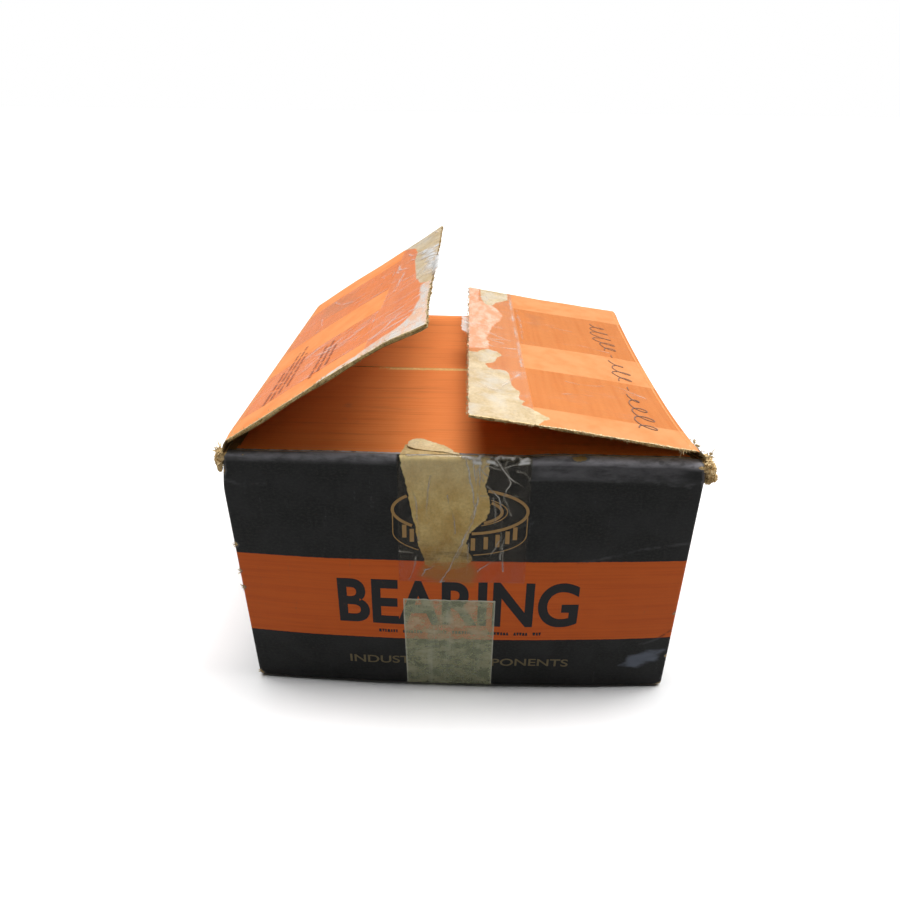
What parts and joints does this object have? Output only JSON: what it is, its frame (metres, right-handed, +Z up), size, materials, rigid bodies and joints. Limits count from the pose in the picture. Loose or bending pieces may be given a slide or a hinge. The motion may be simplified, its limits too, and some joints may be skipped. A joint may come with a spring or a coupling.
{
  "type": "tapered roller bearing in shipping carton",
  "caption": "Worn corrugated carton, cut open along its top seam, holding a single-row tapered roller bearing that turns; hinged lid flaps fold open.",
  "frame": {"origin": "middle of the carton's underside, on the surface it stands on", "axes": "+Z up, the printed front faces -Y, +X to the right seen from the front; the bearing's axis is along +Z"},
  "size_m": [0.254, 0.2552, 0.2375],
  "materials": {
    "printed_front": "black and orange print on kraft liner, scuffed, semi-matte",
    "orange_board": "orange print on kraft liner, worn at creases, semi-matte",
    "kraft_board": "plain brown kraft liner, matte",
    "torn_liner": "torn kraft liner, fibrous, matte",
    "clear_tape": "clear packing tape, wrinkled, glossy",
    "frosted_tape": "translucent yellowed tape, satin",
    "bearing_steel": "ground and honed bearing steel, lightly oiled",
    "cage_steel": "pressed sheet steel, dull"
  },
  "bodies": {
    "carton": {"front_wall": "printed_front", "right_wall": "orange_board", "back_wall": "orange_board", "left_wall": "orange_board", "glue_tab": "kraft_board", "bottom_front_flap": "kraft_board", "bottom_back_flap": "kraft_board", "bottom_left_flap": "kraft_board", "bottom_right_flap": "kraft_board", "front_seal_tape": "clear_tape", "back_seal_tape": "clear_tape", "bottom_tape": "frosted_tape", "liner_tongue": "torn_liner", "cup": "bearing_steel"},
    "left_flap": {"left_flap": "orange_board", "left_seam_tape": "clear_tape", "left_cross_tape_front": "clear_tape", "left_cross_tape_back": "clear_tape"},
    "right_flap": {"right_flap": "orange_board", "right_seam_tape": "clear_tape", "right_cross_tape_front": "clear_tape", "right_cross_tape_back": "clear_tape"},
    "front_inner_flap": {"front_inner_flap": "orange_board"},
    "back_inner_flap": {"back_inner_flap": "orange_board"},
    "cone": {"cone": "bearing_steel"},
    "cage": {"cage": "cage_steel"},
    "roller_01": {"roller_01": "bearing_steel"},
    "roller_02": {"roller_02": "bearing_steel"},
    "roller_03": {"roller_03": "bearing_steel"},
    "roller_04": {"roller_04": "bearing_steel"},
    "roller_05": {"roller_05": "bearing_steel"},
    "roller_06": {"roller_06": "bearing_steel"},
    "roller_07": {"roller_07": "bearing_steel"},
    "roller_08": {"roller_08": "bearing_steel"},
    "roller_09": {"roller_09": "bearing_steel"},
    "roller_10": {"roller_10": "bearing_steel"},
    "roller_11": {"roller_11": "bearing_steel"},
    "roller_12": {"roller_12": "bearing_steel"},
    "roller_13": {"roller_13": "bearing_steel"},
    "roller_14": {"roller_14": "bearing_steel"},
    "roller_15": {"roller_15": "bearing_steel"},
    "roller_16": {"roller_16": "bearing_steel"},
    "roller_17": {"roller_17": "bearing_steel"},
    "roller_18": {"roller_18": "bearing_steel"},
    "roller_19": {"roller_19": "bearing_steel"},
    "roller_20": {"roller_20": "bearing_steel"}
  },
  "joints": [
    {"name": "left_flap_hinge", "type": "hinge", "parent": "carton", "child": "left_flap", "pos_m": [-0.127, 0, 0.1694], "axis": [0, -1, 0], "range_deg": [-32.8, 227.2]},
    {"name": "right_flap_hinge", "type": "hinge", "parent": "carton", "child": "right_flap", "pos_m": [0.127, 0, 0.1694], "axis": [0, 1, 0], "range_deg": [-8.6, 251.4]},
    {"name": "front_inner_flap_hinge", "type": "hinge", "parent": "carton", "child": "front_inner_flap", "pos_m": [0, -0.1227, 0.1586], "axis": [-1, 0, 0], "range_deg": [0, 40]},
    {"name": "back_inner_flap_hinge", "type": "hinge", "parent": "carton", "child": "back_inner_flap", "pos_m": [0, 0.1227, 0.1586], "axis": [1, 0, 0], "range_deg": [0, 40]},
    {"name": "cone_spin", "type": "hinge", "parent": "carton", "child": "cone", "pos_m": [0, 0, 0.0089], "axis": [0, 0, 1], "continuous": true},
    {"name": "cage_spin", "type": "hinge", "parent": "carton", "child": "cage", "pos_m": [0, 0, 0.0089], "axis": [0, 0, 1], "continuous": true},
    {"name": "roller_01_spin", "type": "hinge", "parent": "cage", "child": "roller_01", "pos_m": [0.091, 0, 0.0374], "axis": [0.2419, 0, 0.9703], "continuous": true},
    {"name": "roller_02_spin", "type": "hinge", "parent": "cage", "child": "roller_02", "pos_m": [0.08655, 0.02812, 0.0374], "axis": [0.2301, 0.0748, 0.9703], "continuous": true},
    {"name": "roller_03_spin", "type": "hinge", "parent": "cage", "child": "roller_03", "pos_m": [0.07362, 0.05349, 0.0374], "axis": [0.1957, 0.1422, 0.9703], "continuous": true},
    {"name": "roller_04_spin", "type": "hinge", "parent": "cage", "child": "roller_04", "pos_m": [0.05349, 0.07362, 0.0374], "axis": [0.1422, 0.1957, 0.9703], "continuous": true},
    {"name": "roller_05_spin", "type": "hinge", "parent": "cage", "child": "roller_05", "pos_m": [0.02812, 0.08655, 0.0374], "axis": [0.0748, 0.2301, 0.9703], "continuous": true},
    {"name": "roller_06_spin", "type": "hinge", "parent": "cage", "child": "roller_06", "pos_m": [0, 0.091, 0.0374], "axis": [0, 0.2419, 0.9703], "continuous": true},
    {"name": "roller_07_spin", "type": "hinge", "parent": "cage", "child": "roller_07", "pos_m": [-0.02812, 0.08655, 0.0374], "axis": [-0.0748, 0.2301, 0.9703], "continuous": true},
    {"name": "roller_08_spin", "type": "hinge", "parent": "cage", "child": "roller_08", "pos_m": [-0.05349, 0.07362, 0.0374], "axis": [-0.1422, 0.1957, 0.9703], "continuous": true},
    {"name": "roller_09_spin", "type": "hinge", "parent": "cage", "child": "roller_09", "pos_m": [-0.07362, 0.05349, 0.0374], "axis": [-0.1957, 0.1422, 0.9703], "continuous": true},
    {"name": "roller_10_spin", "type": "hinge", "parent": "cage", "child": "roller_10", "pos_m": [-0.08655, 0.02812, 0.0374], "axis": [-0.2301, 0.0748, 0.9703], "continuous": true},
    {"name": "roller_11_spin", "type": "hinge", "parent": "cage", "child": "roller_11", "pos_m": [-0.091, 0, 0.0374], "axis": [-0.2419, 0, 0.9703], "continuous": true},
    {"name": "roller_12_spin", "type": "hinge", "parent": "cage", "child": "roller_12", "pos_m": [-0.08655, -0.02812, 0.0374], "axis": [-0.2301, -0.0748, 0.9703], "continuous": true},
    {"name": "roller_13_spin", "type": "hinge", "parent": "cage", "child": "roller_13", "pos_m": [-0.07362, -0.05349, 0.0374], "axis": [-0.1957, -0.1422, 0.9703], "continuous": true},
    {"name": "roller_14_spin", "type": "hinge", "parent": "cage", "child": "roller_14", "pos_m": [-0.05349, -0.07362, 0.0374], "axis": [-0.1422, -0.1957, 0.9703], "continuous": true},
    {"name": "roller_15_spin", "type": "hinge", "parent": "cage", "child": "roller_15", "pos_m": [-0.02812, -0.08655, 0.0374], "axis": [-0.0748, -0.2301, 0.9703], "continuous": true},
    {"name": "roller_16_spin", "type": "hinge", "parent": "cage", "child": "roller_16", "pos_m": [0, -0.091, 0.0374], "axis": [0, -0.2419, 0.9703], "continuous": true},
    {"name": "roller_17_spin", "type": "hinge", "parent": "cage", "child": "roller_17", "pos_m": [0.02812, -0.08655, 0.0374], "axis": [0.0748, -0.2301, 0.9703], "continuous": true},
    {"name": "roller_18_spin", "type": "hinge", "parent": "cage", "child": "roller_18", "pos_m": [0.05349, -0.07362, 0.0374], "axis": [0.1422, -0.1957, 0.9703], "continuous": true},
    {"name": "roller_19_spin", "type": "hinge", "parent": "cage", "child": "roller_19", "pos_m": [0.07362, -0.05349, 0.0374], "axis": [0.1957, -0.1422, 0.9703], "continuous": true},
    {"name": "roller_20_spin", "type": "hinge", "parent": "cage", "child": "roller_20", "pos_m": [0.08655, -0.02812, 0.0374], "axis": [0.2301, -0.0748, 0.9703], "continuous": true}
  ],
  "couplings": [
    {"joint": "cage_spin", "follows": "cone_spin", "ratio": 0.42997},
    {"joint": "roller_01_spin", "follows": "cone_spin", "ratio": -3.3959},
    {"joint": "roller_02_spin", "follows": "cone_spin", "ratio": -3.3959},
    {"joint": "roller_03_spin", "follows": "cone_spin", "ratio": -3.3959},
    {"joint": "roller_04_spin", "follows": "cone_spin", "ratio": -3.3959},
    {"joint": "roller_05_spin", "follows": "cone_spin", "ratio": -3.3959},
    {"joint": "roller_06_spin", "follows": "cone_spin", "ratio": -3.3959},
    {"joint": "roller_07_spin", "follows": "cone_spin", "ratio": -3.3959},
    {"joint": "roller_08_spin", "follows": "cone_spin", "ratio": -3.3959},
    {"joint": "roller_09_spin", "follows": "cone_spin", "ratio": -3.3959},
    {"joint": "roller_10_spin", "follows": "cone_spin", "ratio": -3.3959},
    {"joint": "roller_11_spin", "follows": "cone_spin", "ratio": -3.3959},
    {"joint": "roller_12_spin", "follows": "cone_spin", "ratio": -3.3959},
    {"joint": "roller_13_spin", "follows": "cone_spin", "ratio": -3.3959},
    {"joint": "roller_14_spin", "follows": "cone_spin", "ratio": -3.3959},
    {"joint": "roller_15_spin", "follows": "cone_spin", "ratio": -3.3959},
    {"joint": "roller_16_spin", "follows": "cone_spin", "ratio": -3.3959},
    {"joint": "roller_17_spin", "follows": "cone_spin", "ratio": -3.3959},
    {"joint": "roller_18_spin", "follows": "cone_spin", "ratio": -3.3959},
    {"joint": "roller_19_spin", "follows": "cone_spin", "ratio": -3.3959},
    {"joint": "roller_20_spin", "follows": "cone_spin", "ratio": -3.3959}
  ]
}
